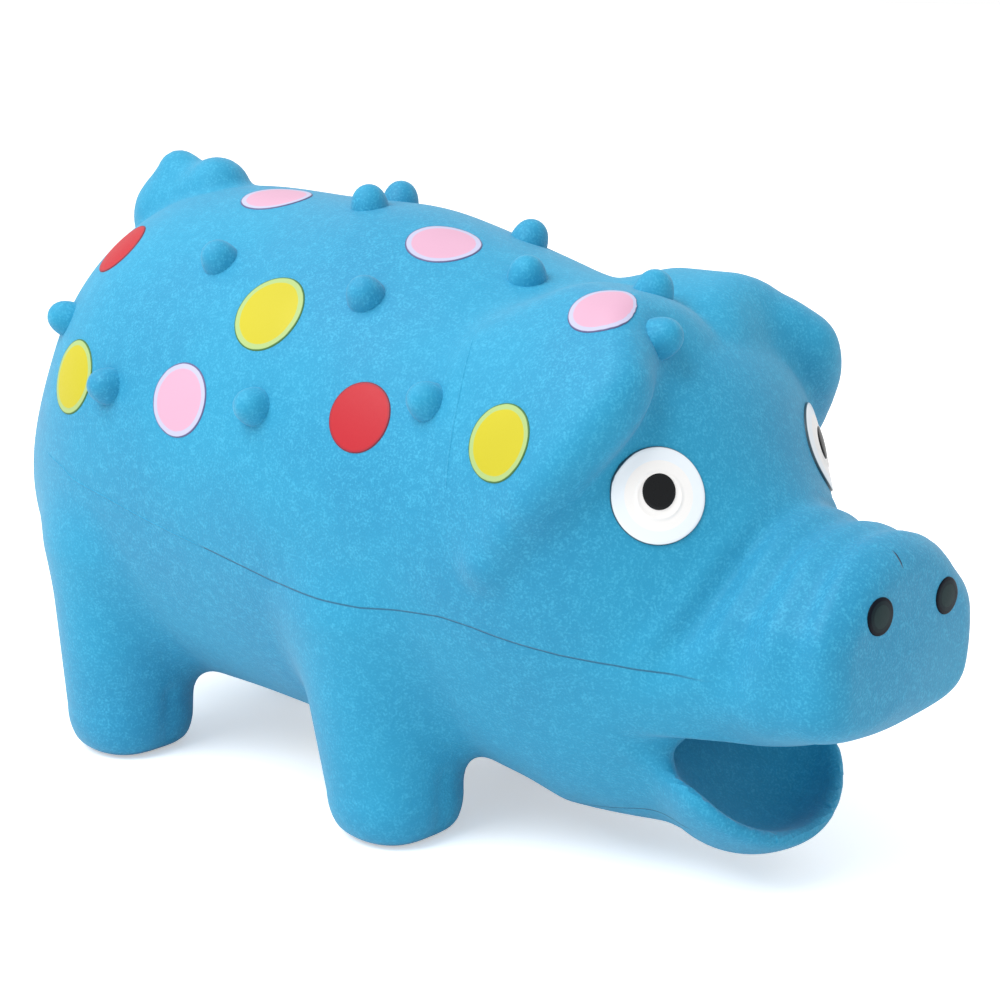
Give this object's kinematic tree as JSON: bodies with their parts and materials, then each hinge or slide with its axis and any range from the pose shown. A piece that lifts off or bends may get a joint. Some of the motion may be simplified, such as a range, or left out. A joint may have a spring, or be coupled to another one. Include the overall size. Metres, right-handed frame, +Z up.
{
  "type": "latex pig dog toy",
  "caption": "Stuffed latex pig dog toy with hollow moulded skin, belly grunter, painted eyes and spots, and soft conical bumps.",
  "frame": {"origin": "on the ground under the middle of the pig's length, on its mirror plane", "axes": "+X towards the nose, +Y towards the pig's left side, +Z up from the soles of the feet"},
  "size_m": [0.2018, 0.0874, 0.1133],
  "materials": {
    "blue_latex": "matte moulded latex with a fine speckled grain",
    "stuffing": "loose white polyester fibre",
    "grunter_plastic": "plain moulded plastic",
    "reed_plastic": "smooth moulded plastic",
    "reed_film": "thin smooth plastic strip",
    "white_paint": "satin flexible paint",
    "black_paint": "gloss flexible paint",
    "pink_paint": "satin flexible paint with a paler rim",
    "yellow_paint": "satin flexible paint with a pale green rim",
    "red_paint": "satin flexible paint"
  },
  "bodies": {
    "toy": {"latex_skin": "blue_latex", "fibre_filling": "stuffing", "grunter_case": "grunter_plastic", "grunter_cap": "grunter_plastic", "reed_tube": "reed_plastic", "reed_wedge": "reed_plastic", "eye_white_right": "white_paint", "pupil_right": "black_paint", "nostril_right": "black_paint", "eye_white_left": "white_paint", "pupil_left": "black_paint", "nostril_left": "black_paint", "spot_pink_1": "pink_paint", "spot_pink_2": "pink_paint", "spot_pink_3": "pink_paint", "spot_pink_4": "pink_paint", "spot_pink_5": "pink_paint", "spot_pink_6": "pink_paint", "spot_red_1": "red_paint", "spot_red_2": "red_paint", "spot_red_3": "red_paint", "spot_red_4": "red_paint", "spot_yellow_1": "yellow_paint", "spot_yellow_2": "yellow_paint", "spot_yellow_3": "yellow_paint", "spot_yellow_4": "yellow_paint", "spot_yellow_5": "yellow_paint"},
    "reed": {"reed_tongue": "reed_film"}
  },
  "joints": [
    {"name": "reed_flutter", "type": "hinge", "parent": "toy", "child": "reed", "pos_m": [-0.02449, 0, 0.0273], "axis": [0, 1, 0], "range_deg": [-1.2, 5], "stiffness_Nm_per_rad": 0.0005}
  ]
}
